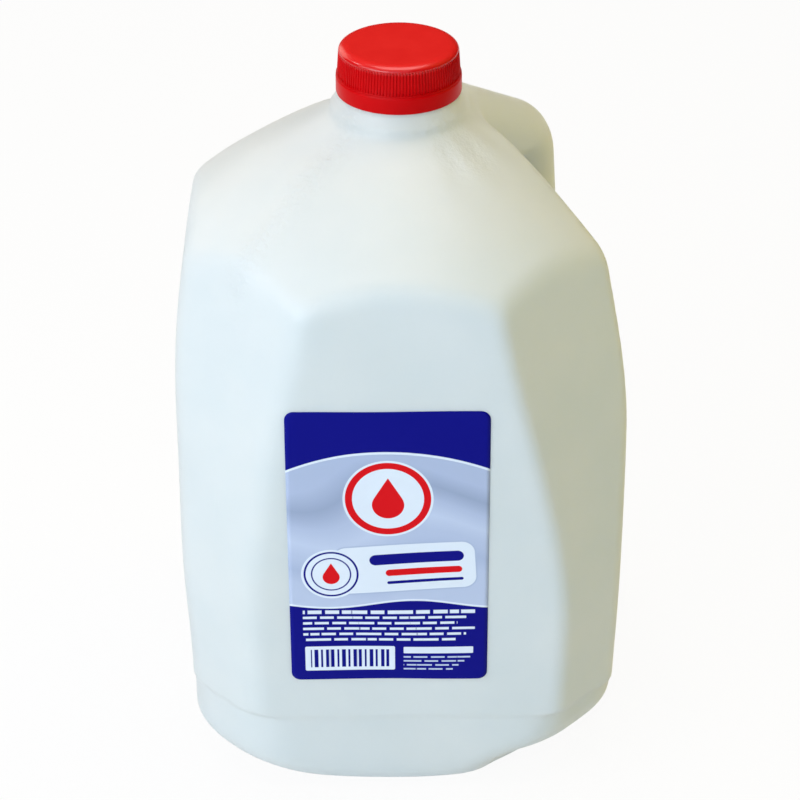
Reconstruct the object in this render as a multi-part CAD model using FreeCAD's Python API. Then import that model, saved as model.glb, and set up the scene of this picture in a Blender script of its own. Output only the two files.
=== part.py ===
import FreeCAD, Part
import math
import os

# One-gallon blow-moulded milk jug, filled and shut: thin jug with a hollow corner handle,
# the milk inside it, a screw cap and a front label.
# Millimetres, +Z up. The origin is on the neck's axis at the level that the jug stands on.
# The label faces -Y. The handle is at the corner towards +X +Y, in the mould's parting plane.

# ---- driving sizes -------------------------------------------------------------------------
WALL = 0.8                  # plastic wall
HALF_LOW = 74.8             # half width of the square body just above its base band
HALF_MID = 77.9             # half width where the milk's weight bulges it most
HALF_TOP = 74.5             # half width where the shoulder starts
LOW_Z = 30.4                # height of the low half width
MID_Z = 135.0               # height of the widest place
TOP_Z = 178.5               # height of the top half width
UPPER_BOW = 2.0             # a higher number keeps the sides upright for longer
LOWER_BOW = 1.5
PLAIN_CORNER_LOW = 20.5     # length cut from a side by a plain corner's flat, low on the body
PLAIN_CORNER_TOP = 40.5     # the same near the shoulder, where the corner flats are widest
SEAM_CORNER_LOW = 23.3      # the same for the two corners on the parting plane
SEAM_CORNER_TOP = 38.5
CORNER_START_Z = 67.0       # the corner flats widen from this height
CORNER_END_Z = 192.5        # to this one
EDGE_SHARPNESS = 32.0       # a higher number makes crisper edges between the flats
BAND_SHARPNESS = 20.0       # the same for the base band

BAND_Z = 31.5               # height of the crease above the base band
BAND_INSET = 0.9            # how far the band lies back from the sides
BAND_CORNER_CUT = 6.0       # extra corner cut of the band at the two plain corners
CREASE_HEIGHT = 3.6         # height over which the crease steps in
HEEL_HEIGHT = 15.2          # rounding from the band down to the standing ring
HEEL_INSET = 3.5
FOOT_RADIUS = 71.5          # round outline that the heel shrinks to at the foot
FOOT_CORNER = 4.5           # outline's gain at the parting plane and loss at the plain corners
FOOT_SPREAD = 1.7           # how fast that outline widens with height
PUSH_UP_RADIUS = 50.0       # shallow dome under the base
PUSH_UP_DEPTH = 4.0

COLLAR_Z = 232.1            # bottom of the round collar under the cap
COLLAR_RADIUS = 22.9
COLLAR_HEIGHT = 6.6
COLLAR_ROOT = 3.0           # how far the collar reaches down into the shoulder
COLLAR_UPRIGHT = 1.5        # upright part of the collar before it draws in to the cap
COLLAR_SET_BACK = 0.3       # how far its top lies inside the cap's edge
SHOULDER_SLOPE = 1.45       # how fast the shoulder widens downwards from the collar
SHOULDER_CROWN = 1.8        # outward bow of the shoulder
SHOULDER_ROUND = 83.0       # radius at which the shoulder's bow has died out
RIDGE_RISE = 0.018          # rise of the shoulder's ridge over the parting plane, as a share
RIDGE_WIDTH = 0.35          # width of that ridge in radians
RIDGE_START = 30.0          # distance out from the collar over which the ridge grows

NECK_RADIUS = 19.1          # neck finish inside the cap
NECK_WALL = 1.8
NECK_BORE_ROOT = 6.0        # how far the bore runs down past the collar
CAP_RADIUS = 21.2
CAP_HEIGHT = 16.4
CAP_TAPER = 0.7             # how much narrower the cap is at its rim
CAP_EDGE_WIDTH = 4.0        # rounding of the cap's rim, inwards and down
CAP_EDGE_DROP = 2.2
CAP_EDGE_STEPS = 8
CAP_TOP_WALL = 1.6
CAP_CLEARANCE = 0.1
SCORE_HEIGHT = 6.0          # height of the tear line above the cap's lower edge
SCORE_DEPTH = 0.35
SCORE_HALF_OPENING = 0.35   # half height of the tear line where it meets the outside
RIB_COUNT = 120
RIB_DEPTH = 0.35
RIB_BAND = 8.0              # length of the grip ribs
CUTTER_MARGIN = 1.0         # cutters stand this far clear of what they cut

RECESS_DISTANCE = 24.0      # finger recess wall, from the neck's axis along the handle's diagonal
RECESS_FLOOR_Z = 113.5      # height of the recess floor at its wall
RECESS_FLOOR_FALL = 0.30    # outward fall of that floor
RECESS_LEAN = 0.04          # outward lean of the recess wall towards its floor
RECESS_CORNER = 20.0        # rounding between the recess wall and floor

HANDLE_HALF_DEPTH = 11.8    # across the handle, in the parting plane
HANDLE_HALF_WIDTH = 12.0    # across the handle, square to the parting plane
HANDLE_ROOT_DISTANCE = 13.2     # centre line's start at the neck, from the axis
HANDLE_ROOT_DROP = 4.9          # and below the collar
HANDLE_KNEE_DISTANCE = 61.2     # its upper outer corner
HANDLE_KNEE_DROP = 30.9
HANDLE_FOOT_DISTANCE = 70.8     # its lower end, inside the corner
HANDLE_FOOT_Z = 97.0
HANDLE_BEND = 13.0          # radius of the centre line at the knee

MILK_LEVEL = 203.0

LABEL_WIDTH = 67.8
LABEL_HEIGHT = 109.2
LABEL_CENTRE_X = -4.7
LABEL_CENTRE_Z = 103.7
LABEL_CORNER = 3.2
LABEL_THICKNESS = 0.2
LABEL_CLEARANCE = 10.0      # the block that outlines the label starts this far in front

# ---- sampling of the freeform skin ---------------------------------------------------------
POINTS_ROUND = 120
HEEL_SECTIONS = 6
HEEL_CROWDING = 1.5         # crowds the heel's sections towards the foot
CREASE_SECTIONS = (-2.5, -1.0, -0.35, 0.35, 1.0, 2.5)     # in crease heights from its middle
SIDE_SECTIONS = 9
SHOULDER_SECTION_GAP = 4.0
SHOULDER_SECTIONS = 18
HANDLE_ANGLE = math.radians(45.0)


def smooth_step(value):
    """0 below 0, 1 above 1, with a soft rise between."""
    value = min(max(value, 0.0), 1.0)
    return value * value * (3.0 - 2.0 * value)


def half_width(z):
    """Half width of the square body at a height."""
    if z > MID_Z:
        share = (z - MID_Z) / (TOP_Z - MID_Z)
        return HALF_MID - (HALF_MID - HALF_TOP) * share ** UPPER_BOW
    share = min((MID_Z - z) / (MID_Z - LOW_Z), 1.0)
    return HALF_MID - (HALF_MID - HALF_LOW) * share ** LOWER_BOW


def corner_cut(z, low_cut, top_cut):
    """Length that a corner's flat takes from each side at a height."""
    rise = smooth_step((z - CORNER_START_Z) / (CORNER_END_Z - CORNER_START_Z))
    return low_cut + (top_cut - low_cut) * rise


def heel_inset(z):
    """Inset of the sides where they round under towards the foot."""
    if z >= HEEL_HEIGHT:
        return 0.0
    share = 1.0 - z / HEEL_HEIGHT
    return HEEL_INSET * (1.0 - math.sqrt(1.0 - share * share))


def shoulder_radius(z):
    """Radius of the round shoulder at a height, before its ridges."""
    if z >= COLLAR_Z:
        return COLLAR_RADIUS
    radius = COLLAR_RADIUS + SHOULDER_SLOPE * (COLLAR_Z - z)
    share = min((radius - COLLAR_RADIUS) / (SHOULDER_ROUND - COLLAR_RADIUS), 1.0)
    return radius + SHOULDER_CROWN * math.sin(math.pi * share)


def skin_radius(angle, z, inset):
    """Distance from the axis to the skin, or to a copy of it that lies inset inside it."""
    band = smooth_step((BAND_Z + CREASE_HEIGHT / 2.0 - z) / CREASE_HEIGHT)
    sharpness = EDGE_SHARPNESS + (BAND_SHARPNESS - EDGE_SHARPNESS) * band
    width = half_width(z) - BAND_INSET * band - heel_inset(z)
    plain_cut = corner_cut(z, PLAIN_CORNER_LOW, PLAIN_CORNER_TOP) + BAND_CORNER_CUT * band
    seam_cut = corner_cut(z, SEAM_CORNER_LOW, SEAM_CORNER_TOP)
    plain_corner = (2.0 * width - plain_cut) / math.sqrt(2.0)
    seam_corner = (2.0 * width - seam_cut) / math.sqrt(2.0)
    distances = [width, seam_corner, width, plain_corner] * 2
    power = 0.0
    for index, distance in enumerate(distances):
        facing = math.cos(angle - index * math.pi / 4.0)
        if facing > 0.0:
            power += (facing / (distance - inset)) ** sharpness
    foot = FOOT_RADIUS + FOOT_CORNER * math.sin(2.0 * angle) + FOOT_SPREAD * z
    foot -= inset * math.hypot(1.0, FOOT_SPREAD)
    power += foot ** -sharpness
    shoulder = shoulder_radius(z)
    ridge = RIDGE_RISE * smooth_step((shoulder - COLLAR_RADIUS) / RIDGE_START)
    for ridge_angle in (HANDLE_ANGLE, HANDLE_ANGLE - math.pi):
        offset = math.remainder(angle - ridge_angle, 2.0 * math.pi)
        shoulder *= 1.0 + ridge * math.exp(-(offset / RIDGE_WIDTH) ** 2)
    shoulder -= inset * math.hypot(1.0, SHOULDER_SLOPE)
    power += shoulder ** -sharpness
    return power ** (-1.0 / sharpness)


def section_heights(bottom):
    """Heights of the skin's sections, closest where it turns most."""
    steps = range(HEEL_SECTIONS + 1)
    heel = [bottom + (HEEL_HEIGHT - bottom) * (step / HEEL_SECTIONS) ** HEEL_CROWDING for step in steps]
    band = [BAND_Z + offset * CREASE_HEIGHT for offset in CREASE_SECTIONS]
    side_rise = (TOP_Z - band[-1]) / SIDE_SECTIONS
    sides = [band[-1] + side_rise * step for step in range(1, SIDE_SECTIONS + 1)]
    first = TOP_Z + SHOULDER_SECTION_GAP
    shoulder_rise = (COLLAR_Z - first) / SHOULDER_SECTIONS
    shoulder = [first + shoulder_rise * step for step in range(SHOULDER_SECTIONS + 1)]
    return heel + band + sides + shoulder


def ring_curve(z, inset):
    """Closed curve round the skin at a height."""
    points = []
    for step in range(POINTS_ROUND):
        angle = 2.0 * math.pi * step / POINTS_ROUND
        radius = skin_radius(angle, z, inset)
        points.append(FreeCAD.Vector(radius * math.cos(angle), radius * math.sin(angle), z))
    shares = [step / POINTS_ROUND for step in range(POINTS_ROUND + 1)]
    curve = Part.BSplineCurve()
    curve.interpolate(Points=points, PeriodicFlag=True, Parameters=shares)
    return curve


def skin_surface(inset):
    """Smooth surface through the rings, closed round the axis."""
    rings = [ring_curve(z, inset) for z in section_heights(max(inset, 0.0))]
    shares = [0.0]
    for lower, upper in zip(rings, rings[1:]):
        shares.append(shares[-1] + lower.getPole(1).distanceToPoint(upper.getPole(1)))
    shares = [share / shares[-1] for share in shares]
    rises = []
    for index in range(1, rings[0].NbPoles + 1):
        rise = Part.BSplineCurve()
        rise.interpolate(Points=[ring.getPole(index) for ring in rings], Parameters=shares)
        rises.append(rise)
    ring = rings[0]
    rise = rises[0]
    surface = Part.BSplineSurface()
    surface.buildFromPolesMultsKnots(
        [curve.getPoles() for curve in rises],
        ring.getMultiplicities(), rise.getMultiplicities(),
        ring.getKnots(), rise.getKnots(),
        True, False, ring.Degree, rise.Degree)
    return surface


def body(inset):
    """Solid inside the jug's skin, up to the collar."""
    side = skin_surface(inset).toShape()
    ends = [Part.Face(Part.Wire([edge])) for edge in side.Edges if edge.isClosed()]
    solid = Part.makeSolid(Part.makeShell([side] + ends))
    solid.fix(1e-4, 1e-4, 1e-3)
    dome_radius = (PUSH_UP_RADIUS ** 2 + PUSH_UP_DEPTH ** 2) / (2.0 * PUSH_UP_DEPTH)
    dome_centre = FreeCAD.Vector(0.0, 0.0, PUSH_UP_DEPTH - dome_radius)
    return solid.cut(Part.makeSphere(dome_radius + inset, dome_centre))


def revolve(outline):
    """Solid of revolution about Z from radius and height points."""
    points = [FreeCAD.Vector(radius, 0.0, z) for radius, z in outline]
    face = Part.Face(Part.makePolygon(points + points[:1]))
    return face.revolve(FreeCAD.Vector(0, 0, 0), FreeCAD.Vector(0, 0, 1), 360.0)


def turn_to_handle(shape):
    """Turn a shape from the XZ plane into the parting plane."""
    shape.rotate(FreeCAD.Vector(0, 0, 0), FreeCAD.Vector(0, 0, 1), math.degrees(HANDLE_ANGLE))
    return shape


def recess(inset):
    """Block that clears the finger recess at the handle's corner."""
    reach = 2.0 * HALF_MID
    wall = RECESS_DISTANCE - inset
    floor = RECESS_FLOOR_Z - inset
    outer_floor = floor - RECESS_FLOOR_FALL * (reach - wall)
    top = COLLAR_Z
    foot = wall + RECESS_LEAN * (top - floor)
    corners = [(foot, floor), (reach, outer_floor), (reach, top), (wall, top)]
    points = [FreeCAD.Vector(distance, -reach, z) for distance, z in corners]
    face = Part.Face(Part.makePolygon(points + points[:1]))
    block = face.extrude(FreeCAD.Vector(0, 2.0 * reach, 0))
    inner_edges = []
    for edge in block.Edges:
        centre = edge.CenterOfMass
        if abs(centre.x - foot) < 0.01 and abs(centre.z - floor) < 0.01:
            inner_edges.append(edge)
    return turn_to_handle(block.makeFillet(RECESS_CORNER + inset, inner_edges))


def handle_path():
    """Centre line of the handle in the XZ plane: two straight runs and a bend."""
    root = FreeCAD.Vector(HANDLE_ROOT_DISTANCE, 0, COLLAR_Z - HANDLE_ROOT_DROP)
    knee = FreeCAD.Vector(HANDLE_KNEE_DISTANCE, 0, COLLAR_Z - HANDLE_KNEE_DROP)
    foot = FreeCAD.Vector(HANDLE_FOOT_DISTANCE, 0, HANDLE_FOOT_Z)
    inward = (root - knee).normalize()
    downward = (foot - knee).normalize()
    half_angle = inward.getAngle(downward) / 2.0
    trim = HANDLE_BEND / math.tan(half_angle)
    start = knee + inward * trim
    end = knee + downward * trim
    bisector = (inward + downward).normalize()
    centre = knee + bisector * (HANDLE_BEND / math.sin(half_angle))
    middle = centre - bisector * HANDLE_BEND
    bend = Part.Arc(start, middle, end).toShape()
    path = Part.Wire([Part.makeLine(root, start), bend, Part.makeLine(end, foot)])
    return path, root, inward


def handle(inset):
    """Rounded bar of the handle, or the hollow inside it."""
    path, root, inward = handle_path()
    across = FreeCAD.Vector(0, 1, 0)
    tips = [
        (HANDLE_HALF_DEPTH - inset, inward.cross(across)),
        (HANDLE_HALF_WIDTH - inset, across),
    ]
    tips.sort(key=lambda tip: tip[0], reverse=True)
    ellipse = Part.Ellipse(root + tips[0][1] * tips[0][0], root + tips[1][1] * tips[1][0], root)
    section = Part.Wire(ellipse.toShape())
    return turn_to_handle(path.makePipeShell([section], True, False))


def collar_and_neck():
    """Round collar under the cap and the neck finish inside it."""
    collar_top = COLLAR_Z + COLLAR_HEIGHT
    neck_top = collar_top + CAP_HEIGHT - CAP_TOP_WALL
    outline = [
        (0.0, COLLAR_Z - COLLAR_ROOT),
        (COLLAR_RADIUS, COLLAR_Z - COLLAR_ROOT),
        (COLLAR_RADIUS, COLLAR_Z + COLLAR_UPRIGHT),
        (CAP_RADIUS - COLLAR_SET_BACK, collar_top),
        (NECK_RADIUS, collar_top),
        (NECK_RADIUS, neck_top),
        (0.0, neck_top),
    ]
    return revolve(outline)


def neck_bore():
    """Hollow of the neck, from inside the shoulder to the neck's mouth."""
    radius = NECK_RADIUS - NECK_WALL
    length = NECK_BORE_ROOT + COLLAR_HEIGHT + CAP_HEIGHT
    return Part.makeCylinder(radius, length, FreeCAD.Vector(0, 0, COLLAR_Z - NECK_BORE_ROOT))


def hollow():
    """Whole space inside the jug."""
    return body(WALL).cut(recess(WALL)).fuse([handle(WALL), neck_bore()])


def jug(inside):
    """Jug's plastic: the skin, handle and neck less the space inside."""
    outside = body(0.0).cut(recess(0.0)).fuse([handle(0.0), collar_and_neck()])
    return outside.cut(inside)


def milk(inside):
    """Milk up to its level."""
    reach = 4.0 * HALF_MID
    corner = FreeCAD.Vector(-reach / 2.0, -reach / 2.0, -reach)
    below = Part.makeBox(reach, reach, MILK_LEVEL + reach, corner)
    return inside.common(below)


def cap_outline(radius, bottom, top):
    """Half outline of the cap's outside with its rounded rim."""
    rim = radius - CAP_TAPER
    points = [(0.0, bottom), (radius, bottom), (radius, bottom + SCORE_HEIGHT)]
    for step in range(CAP_EDGE_STEPS + 1):
        angle = math.pi / 2.0 * step / CAP_EDGE_STEPS
        turn_radius = rim - CAP_EDGE_WIDTH * (1.0 - math.cos(angle))
        points.append((turn_radius, top - CAP_EDGE_DROP * (1.0 - math.sin(angle))))
    points.append((0.0, top))
    return points


def rib_cutter(bottom):
    """Ring whose inner outline has one notch for each grip rib."""
    points = []
    root = CAP_RADIUS - CAP_TAPER - RIB_DEPTH
    tip = CAP_RADIUS + SCORE_DEPTH
    for step in range(2 * RIB_COUNT):
        angle = math.pi * (step + 0.5) / RIB_COUNT
        radius = tip if step % 2 else root
        points.append(FreeCAD.Vector(radius * math.cos(angle), radius * math.sin(angle), bottom))
    star = Part.Face(Part.makePolygon(points + points[:1])).extrude(FreeCAD.Vector(0, 0, RIB_BAND))
    ring = Part.makeCylinder(CAP_RADIUS + CUTTER_MARGIN, RIB_BAND, FreeCAD.Vector(0, 0, bottom))
    return ring.cut(star)


def cap():
    """Screw cap and its tamper band, moulded as one piece."""
    bottom = COLLAR_Z + COLLAR_HEIGHT
    top = bottom + CAP_HEIGHT
    outside = revolve(cap_outline(CAP_RADIUS, bottom, top))
    depth = CAP_HEIGHT - CAP_TOP_WALL
    space = Part.makeCylinder(NECK_RADIUS + CAP_CLEARANCE, depth, FreeCAD.Vector(0, 0, bottom))
    score = bottom + SCORE_HEIGHT
    groove = revolve([
        (CAP_RADIUS + CUTTER_MARGIN, score - SCORE_HALF_OPENING),
        (CAP_RADIUS - SCORE_DEPTH, score),
        (CAP_RADIUS + CUTTER_MARGIN, score + SCORE_HALF_OPENING),
    ])
    return outside.cut([space, groove, rib_cutter(score + SCORE_HALF_OPENING)])


def label():
    """Thin printed label that follows the front face."""
    half_x = LABEL_WIDTH / 2.0
    half_z = LABEL_HEIGHT / 2.0
    depth = HALF_MID + LABEL_CLEARANCE
    start = FreeCAD.Vector(LABEL_CENTRE_X - half_x, -depth, LABEL_CENTRE_Z - half_z)
    block = Part.makeBox(LABEL_WIDTH, depth / 2.0, LABEL_HEIGHT, start)
    corner_edges = []
    for edge in block.Edges:
        along = edge.Vertexes[1].Point - edge.Vertexes[0].Point
        if abs(along.x) + abs(along.z) < 0.001:
            corner_edges.append(edge)
    outline = block.makeFillet(LABEL_CORNER, corner_edges)
    return body(-LABEL_THICKNESS).common(outline).cut(body(0.0))


def main():
    os.makedirs("parts", exist_ok=True)
    inside = hollow()
    pieces = {
        "jug": jug(inside),
        "milk": milk(inside),
        "cap": cap(),
        "label": label(),
    }
    for name, shape in pieces.items():
        shape.exportStep("parts/" + name + ".step")
        box = shape.BoundBox
        print(name, "solids", len(shape.Solids), "volume", round(shape.Volume / 1000.0, 2), "cm3,",
              "box", round(box.XLength, 2), round(box.YLength, 2), round(box.ZLength, 2),
              "valid", shape.isValid())


main()
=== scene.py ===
import math

import bpy
import numpy as np
from mathutils import Euler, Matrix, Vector


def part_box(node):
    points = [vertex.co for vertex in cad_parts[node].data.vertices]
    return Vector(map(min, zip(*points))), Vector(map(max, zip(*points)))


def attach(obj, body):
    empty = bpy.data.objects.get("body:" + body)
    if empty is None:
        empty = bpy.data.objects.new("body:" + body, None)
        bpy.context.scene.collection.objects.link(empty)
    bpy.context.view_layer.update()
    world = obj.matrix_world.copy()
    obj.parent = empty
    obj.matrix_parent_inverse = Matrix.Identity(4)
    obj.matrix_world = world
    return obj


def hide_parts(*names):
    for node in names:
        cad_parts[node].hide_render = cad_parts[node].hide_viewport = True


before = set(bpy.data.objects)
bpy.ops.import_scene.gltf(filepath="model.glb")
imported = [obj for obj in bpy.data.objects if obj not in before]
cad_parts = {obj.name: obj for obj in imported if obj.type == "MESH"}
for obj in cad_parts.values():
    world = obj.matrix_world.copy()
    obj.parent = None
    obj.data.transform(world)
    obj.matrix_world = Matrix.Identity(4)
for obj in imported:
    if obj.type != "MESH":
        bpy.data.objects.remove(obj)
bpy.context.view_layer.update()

MM = 0.001

# A one-gallon milk jug of milky plastic, full of milk, with a ribbed red cap and a front label.
# Shapes are worked out in millimetres and turned to metres when a mesh is made.
# The label faces -Y, and the handle is at the corner towards +X +Y.


def node_box(name):
    """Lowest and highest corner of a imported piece, in millimetres."""
    low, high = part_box(name)
    return np.array(low) / MM, np.array(high) / MM


JUG_LOW, JUG_HIGH = node_box("jug")
CAP_LOW, CAP_HIGH = node_box("cap")
LABEL_LOW, LABEL_HIGH = node_box("label")
MILK_LEVEL = node_box("milk")[1][2]

# ---- sizes of the blown skin ---------------------------------------------------------------
SIDE_ROOM = 0.3             # keeps the flats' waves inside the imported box
HALF_MID = JUG_HIGH[0] - SIDE_ROOM      # half width where the milk bulges the sides most
HALF_LOW = HALF_MID - 2.0               # the same above the base band
HALF_TOP = HALF_MID - 2.6               # the same where the shoulder starts
LOW_Z, MID_Z, TOP_Z = 30.4, 135.0, 178.5
UPPER_BOW, LOWER_BOW = 2.0, 1.5         # powers of the sides' curves above and below MID_Z
PLAIN_CORNER_LOW = 20.5     # length that a plain corner's flat takes from each side, low down
PLAIN_CORNER_TOP = 40.5     # the same under the shoulder
SEAM_CORNER_LOW = 23.3      # the same at the corners on the parting plane
SEAM_CORNER_TOP = 38.5
CORNER_START_Z, CORNER_END_Z = 67.0, 192.5
WAVE_DEPTH, FINE_WAVE, WAVE_SET_BACK = 0.22, 0.6, 0.2

BAND_Z = 31.5               # crease above the base band
BAND_INSET = 0.65
BAND_SIDE_INSET = 0.7 * BAND_INSET      # what the sides facing +X and -X are set in further
CREASE_HEIGHT = 2.6
BAND_CORNER_CUT = 2.0       # length that the band takes from the plain corners
HEEL_HEIGHT, HEEL_INSET = 15.2, 2.8
FOOT_RADIUS, FOOT_SPREAD = 72.3, 1.7
FOOT_SEAM_GAIN = 2.6        # the foot reaches further out at the corners on the parting plane
FOOT_PLAIN_DENT = 0.5       # and is dented at the plain ones, more so higher up
FOOT_DENT_RISE, FOOT_DENT_TOP = 1.2, 8.5
FOOT_DENT_START, FOOT_DENT_SPAN = 0.5, 0.4      # in the sine of twice the angle round the foot
FOOT_SHIFT, FOOT_SQUEEZE = 1.7, 0.955   # the foot is a little oval and off centre
PUSH_UP_RADIUS, PUSH_UP_DEPTH = 50.0, 4.0
PUSH_UP_DOME = (PUSH_UP_RADIUS ** 2 + PUSH_UP_DEPTH ** 2) / (2.0 * PUSH_UP_DEPTH)

COLLAR_HEIGHT = 6.6
COLLAR_Z = CAP_LOW[2] - COLLAR_HEIGHT
COLLAR_RADIUS = 22.9
SHOULDER_SLOPE = 1.45
SHOULDER_CROWN, SHOULDER_ROUND = 1.8, 83.0
SHOULDER_DIP = 2.2          # hollow of the shoulder round the collar
DIP_RADIUS, DIP_WIDTH = 31.0, 9.0
CREST_HEIGHT, CREST_WIDTH = 1.2, 9.0
CREST_START, CREST_RISE = 26.0, 16.0    # distances from the axis: where it starts, and its rise
CREST_STRAY, CREST_WAVE, CREST_PHASE = 1.6, 0.21, 0.8
WRINKLE_DEPTH, WRINKLE_COUNT, WRINKLE_PHASE = 0.22, 17.0, 0.4
WRINKLE_RADIUS, WRINKLE_WIDTH = 34.0, 9.0
WRINKLE_START_X, WRINKLE_RISE_X = 8.0, 10.0
NECK_RADIUS = 19.1
NECK_ROOT = 6.0             # the neck reaches this far down into the shoulder

RECESS_DISTANCE = 24.0      # finger recess wall, from the neck's axis
RECESS_LEAN = 0.04
RECESS_FLOOR_Z, RECESS_FLOOR_FALL = 113.5, 0.30
RECESS_CORNER = 24.0

HANDLE_HALF_DEPTH, HANDLE_HALF_WIDTH = 11.8, 12.0
HANDLE_ROOT = np.array([22.0, 222.4])   # distance from the axis, and height
HANDLE_KNEE = np.array([61.2, 201.2])
HANDLE_FOOT = np.array([70.8, 97.0])
HANDLE_BEND = 13.0

# How far from an edge its rounding starts.
FLAT_BLEND, PLAIN_BLEND, SEAM_BLEND = 4.0, 2.6, 4.5
PLAIN_BAND_BLEND, SEAM_BAND_BLEND = 4.0, 6.0    # what the base band adds
FOOT_BLEND, SHOULDER_BLEND, BASE_BLEND, PUSH_UP_BLEND = 7.0, 3.6, 3.0, 2.0
BODY_TOP, BODY_TOP_BLEND = 1.0, 0.5     # the body ends this far above the collar's foot
RECESS_BLEND, HANDLE_BLEND, NECK_BLEND = 5.0, 9.0, 2.5
MILK_BLEND = 1.0

MILK_INSET = 0.5            # the milk reaches this far short of the outside, so into the wall
SKIN_CELL, MILK_CELL = 1.45, 2.2        # spacing of the faces
CELLS_BEFORE, CELLS_AFTER = 2.0, 3.0    # room of the grid round a piece
SETTLE_ROUNDS, SETTLE_STEP, LEAST_SLOPE = 4, 0.05, 0.1


# ---- shape functions: negative inside, positive outside ------------------------------------
def smooth_step(value):
    value = np.clip(value, 0.0, 1.0)
    return value * value * (3.0 - 2.0 * value)


def soft_max(first, second, blend):
    """The larger of two, rounded over where they are within blend of each other."""
    near = np.maximum(blend - np.abs(first - second), 0.0) / blend
    return np.maximum(first, second) + near * near * blend * 0.25


def soft_min(first, second, blend):
    return -soft_max(-first, -second, blend)


def half_width(z):
    upper = np.maximum((z - MID_Z) / (TOP_Z - MID_Z), 0.0)
    lower = np.clip((MID_Z - z) / (MID_Z - LOW_Z), 0.0, 1.0)
    above = (HALF_MID - HALF_TOP) * upper ** UPPER_BOW
    below = (HALF_MID - HALF_LOW) * lower ** LOWER_BOW
    return HALF_MID - above - below


def corner_cut(z, low_cut, top_cut):
    rise = smooth_step((z - CORNER_START_Z) / (CORNER_END_Z - CORNER_START_Z))
    return low_cut + (top_cut - low_cut) * rise


def shoulder_radius(z):
    radius = COLLAR_RADIUS + SHOULDER_SLOPE * np.maximum(COLLAR_Z - z, 0.0)
    share = np.clip((radius - COLLAR_RADIUS) / (SHOULDER_ROUND - COLLAR_RADIUS), 0.0, 1.0)
    dip = SHOULDER_DIP * np.exp(-((radius - DIP_RADIUS) / DIP_WIDTH) ** 2)
    return radius + SHOULDER_CROWN * np.sin(math.pi * share) - dip


def sides(x, y, z):
    """Four flats and four corner flats, with the base band and the heel."""
    band = smooth_step((BAND_Z + CREASE_HEIGHT / 2.0 - z) / CREASE_HEIGHT)
    share = np.clip(1.0 - z / HEEL_HEIGHT, 0.0, 1.0)
    heel = HEEL_INSET * (1.0 - np.sqrt(1.0 - share * share))
    width = half_width(z) - BAND_INSET * band - heel
    plain_cut = corner_cut(z, PLAIN_CORNER_LOW, PLAIN_CORNER_TOP) + BAND_CORNER_CUT * band
    seam_cut = corner_cut(z, SEAM_CORNER_LOW, SEAM_CORNER_TOP)
    plain = (2.0 * width - plain_cut) / math.sqrt(2.0)
    seam = (2.0 * width - seam_cut) / math.sqrt(2.0)
    along = (x + y) / math.sqrt(2.0)
    across = (x - y) / math.sqrt(2.0)
    flats = soft_max(np.abs(x) - width - BAND_SIDE_INSET * band, np.abs(y) - width, FLAT_BLEND)
    result = soft_max(flats, np.abs(across) - plain, PLAIN_BLEND + PLAIN_BAND_BLEND * band)
    return soft_max(result, np.abs(along) - seam, SEAM_BLEND + SEAM_BAND_BLEND * band)


def unevenness(x, y, z):
    """Slight waves that blowing and filling leave in the flats."""
    waves = np.sin(x * 0.071 + z * 0.043 + 0.6) * np.sin(y * 0.064 - z * 0.038 + 1.9)
    waves += FINE_WAVE * np.sin(x * 0.13 - y * 0.11 + z * 0.09 + 2.2)
    return WAVE_DEPTH * waves + WAVE_SET_BACK


def shoulder(x, y, z):
    """Crowned cone with a low wavering crest along the parting plane, and wrinkles by the neck."""
    radius = np.hypot(x, y)
    along = (x + y) / math.sqrt(2.0)
    across = (x - y) / math.sqrt(2.0)
    room = smooth_step((radius - CREST_START) / CREST_RISE)
    waver = CREST_STRAY * np.sin(along * CREST_WAVE + CREST_PHASE)
    crest = CREST_HEIGHT * np.exp(-((across - waver) / CREST_WIDTH) ** 2)
    near_neck = np.exp(-((radius - WRINKLE_RADIUS) / WRINKLE_WIDTH) ** 2)
    window = near_neck * smooth_step((x - WRINKLE_START_X) / WRINKLE_RISE_X)
    wrinkles = WRINKLE_DEPTH * np.sin(WRINKLE_COUNT * np.arctan2(y, x) + WRINKLE_PHASE) * window
    cone = (radius - shoulder_radius(z)) / math.hypot(1.0, SHOULDER_SLOPE)
    return cone - crest * room + wrinkles


def recess(x, y, z):
    """Space behind the handle's corner that lets the fingers in."""
    along = (x + y) / math.sqrt(2.0)
    wall = RECESS_DISTANCE + RECESS_LEAN * (COLLAR_Z - z)
    floor = RECESS_FLOOR_Z - RECESS_FLOOR_FALL * (along - RECESS_DISTANCE)
    slant = math.hypot(1.0, RECESS_FLOOR_FALL)
    return soft_max(wall - along, (floor - z) / slant, RECESS_CORNER)


def segment_distance(point, start, end):
    """Distance of points in a plane from a straight run."""
    run = end - start
    share = np.clip(((point - start) @ run) / (run @ run), 0.0, 1.0)
    return np.linalg.norm(point - start - share[..., None] * run, axis=-1)


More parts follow.
